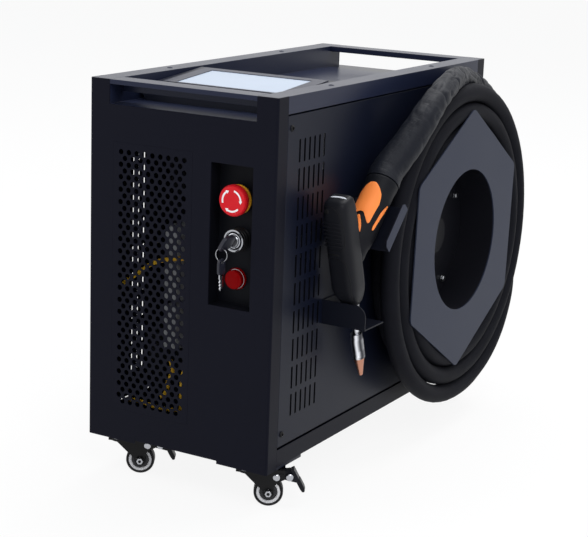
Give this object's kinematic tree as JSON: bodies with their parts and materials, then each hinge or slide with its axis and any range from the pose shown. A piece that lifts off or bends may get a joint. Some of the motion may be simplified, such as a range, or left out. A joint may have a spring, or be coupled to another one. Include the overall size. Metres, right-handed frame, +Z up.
{
  "type": "laser welding machine",
  "caption": "Air-cooled handheld laser welding machine in a black steel cabinet on casters, with hose reel, holstered welding gun, console screen and key and stop controls.",
  "frame": {"origin": "on the floor under the middle of the cabinet's plan, where the wheels touch the ground", "axes": "-Y is the front with the vent and the controls, +X is the side with the hose reel and the gun, +Z is up"},
  "size_m": [0.3477, 0.742, 0.5405],
  "materials": {
    "sheet_black": "fine textured powder coat",
    "sheet_grey": "fine textured powder coat",
    "sheet_rim": "fine textured powder coat",
    "black_plastic": "matte",
    "red_plastic": "semi-gloss",
    "yellow_plastic": "semi-gloss",
    "orange_plastic": "satin",
    "steel": "satin",
    "bright_steel": "polished",
    "copper": "satin copper",
    "brass": "satin",
    "screen": "clear",
    "bezel_grey": "satin",
    "hose_fabric": "matte braided cover",
    "white_plastic": "satin",
    "wheel_rubber": "matte",
    "module_grey": "satin"
  },
  "bodies": {
    "cabinet": {"top_tray": "sheet_rim", "handle_bars": "sheet_rim", "front_panel": "sheet_black", "front_grille": "sheet_black", "rear_panel": "sheet_black", "base_tray": "sheet_black", "side_panel_right": "sheet_grey", "side_panel_left": "sheet_grey", "fasteners": "bright_steel", "control_pocket": "sheet_black", "estop_collar": "yellow_plastic", "key_switch_body": "steel", "indicator_lamp": "red_plastic", "console_housing": "black_plastic", "screen_bezel": "bezel_grey", "screen_glass": "screen", "reel_drum": "sheet_grey", "reel_plate": "sheet_grey", "holder_shelf": "sheet_grey", "holder_cradle": "sheet_grey", "hose_sleeve": "hose_fabric", "hose_lead": "hose_fabric", "hose_coil": "hose_fabric", "hose_tail": "hose_fabric", "hose_gland": "black_plastic", "caster_plates": "steel", "laser_source": "module_grey", "power_supply": "module_grey", "fan_frames": "black_plastic", "breaker_body": "white_plastic", "mains_gland": "black_plastic", "gas_inlet": "brass"},
    "estop_stem": {"estop_stem": "steel"},
    "estop_head": {"estop_head": "red_plastic"},
    "key_cylinder": {"key_cylinder": "bright_steel"},
    "main_key": {"main_key": "black_plastic"},
    "key_ring": {"key_ring": "bright_steel"},
    "spare_key": {"spare_key": "black_plastic"},
    "gun": {"gun_housing": "black_plastic", "gun_grip": "black_plastic", "gun_grip_insert": "orange_plastic", "gun_nozzle_tube": "bright_steel", "gun_nozzle": "steel", "gun_tip": "copper", "gun_collar": "black_plastic"},
    "gun_trigger": {"gun_trigger": "black_plastic"},
    "fan_rotor_upper": {"fan_rotor_upper": "black_plastic"},
    "fan_rotor_lower": {"fan_rotor_lower": "black_plastic"},
    "breaker_lever": {"breaker_lever": "black_plastic"},
    "fork_fl": {"fork_fl": "steel"},
    "wheel_fl": {"wheel_fl": "wheel_rubber"},
    "pedal_fl": {"pedal_fl": "steel"},
    "fork_fr": {"fork_fr": "steel"},
    "wheel_fr": {"wheel_fr": "wheel_rubber"},
    "pedal_fr": {"pedal_fr": "steel"},
    "fork_rl": {"fork_rl": "steel"},
    "wheel_rl": {"wheel_rl": "wheel_rubber"},
    "fork_rr": {"fork_rr": "steel"},
    "wheel_rr": {"wheel_rr": "wheel_rubber"}
  },
  "joints": [
    {"name": "estop_push", "type": "slide", "parent": "cabinet", "child": "estop_stem", "axis": [0, 1, 0], "range_m": [0, 0.0045], "stiffness_N_per_m": 900},
    {"name": "estop_twist", "type": "hinge", "parent": "estop_stem", "child": "estop_head", "pos_m": [0.0765, -0.2976, 0.3984], "axis": [0, -1, 0], "range_deg": [-35, 0], "stiffness_Nm_per_rad": 0.06},
    {"name": "key_turn", "type": "hinge", "parent": "cabinet", "child": "key_cylinder", "pos_m": [0.0765, -0.2936, 0.3455], "axis": [0, 1, 0], "range_deg": [0, 90]},
    {"name": "key_pull", "type": "slide", "parent": "key_cylinder", "child": "main_key", "axis": [0, -1, 0], "range_m": [0, 0.022]},
    {"name": "key_ring_swing", "type": "hinge", "parent": "main_key", "child": "key_ring", "pos_m": [0.0725, -0.3136, 0.33902], "axis": [0, 1, 0], "range_deg": [-5, 40]},
    {"name": "spare_key_swing", "type": "hinge", "parent": "key_ring", "child": "spare_key", "pos_m": [0.0725, -0.3136, 0.32262], "axis": [1, 0, 0], "range_deg": [-60, 12]},
    {"name": "gun_lift", "type": "slide", "parent": "cabinet", "child": "gun", "axis": [0, -0.2974, 0.9548], "range_m": [0, 0.1], "deforming": ["hose_sleeve"]},
    {"name": "trigger_pull", "type": "hinge", "parent": "gun", "child": "gun_trigger", "pos_m": [0.171, -0.15171, 0.31015], "axis": [1, 0, 0], "range_deg": [0, 6], "stiffness_Nm_per_rad": 0.25},
    {"name": "fan_spin_upper", "type": "hinge", "parent": "cabinet", "child": "fan_rotor_upper", "pos_m": [0.062, 0.285, 0.384], "axis": [0, 1, 0], "continuous": true},
    {"name": "fan_spin_lower", "type": "hinge", "parent": "cabinet", "child": "fan_rotor_lower", "pos_m": [0.062, 0.285, 0.254], "axis": [0, 1, 0], "continuous": true},
    {"name": "breaker_throw", "type": "hinge", "parent": "cabinet", "child": "breaker_lever", "pos_m": [-0.072, 0.306, 0.384], "axis": [1, 0, 0], "range_deg": [0, 60]},
    {"name": "swivel_fl", "type": "hinge", "parent": "cabinet", "child": "fork_fl", "pos_m": [-0.1, -0.272, 0.05], "axis": [0, 0, 1], "continuous": true},
    {"name": "roll_fl", "type": "hinge", "parent": "fork_fl", "child": "wheel_fl", "pos_m": [-0.08095, -0.261, 0.019], "axis": [-0.5, 0.866, 0], "continuous": true},
    {"name": "brake_fl", "type": "hinge", "parent": "fork_fl", "child": "pedal_fl", "pos_m": [-0.06709, -0.253, 0.042], "axis": [-0.5, 0.866, 0], "range_deg": [0, 12]},
    {"name": "swivel_fr", "type": "hinge", "parent": "cabinet", "child": "fork_fr", "pos_m": [0.1, -0.272, 0.05], "axis": [0, 0, 1], "continuous": true},
    {"name": "roll_fr", "type": "hinge", "parent": "fork_fr", "child": "wheel_fr", "pos_m": [0.11905, -0.261, 0.019], "axis": [-0.5, 0.866, 0], "continuous": true},
    {"name": "brake_fr", "type": "hinge", "parent": "fork_fr", "child": "pedal_fr", "pos_m": [0.13291, -0.253, 0.042], "axis": [-0.5, 0.866, 0], "range_deg": [0, 12]},
    {"name": "swivel_rl", "type": "hinge", "parent": "cabinet", "child": "fork_rl", "pos_m": [-0.1, 0.272, 0.05], "axis": [0, 0, 1], "continuous": true},
    {"name": "roll_rl", "type": "hinge", "parent": "fork_rl", "child": "wheel_rl", "pos_m": [-0.08095, 0.283, 0.019], "axis": [-0.5, 0.866, 0], "continuous": true},
    {"name": "swivel_rr", "type": "hinge", "parent": "cabinet", "child": "fork_rr", "pos_m": [0.1, 0.272, 0.05], "axis": [0, 0, 1], "continuous": true},
    {"name": "roll_rr", "type": "hinge", "parent": "fork_rr", "child": "wheel_rr", "pos_m": [0.11905, 0.283, 0.019], "axis": [-0.5, 0.866, 0], "continuous": true}
  ]
}
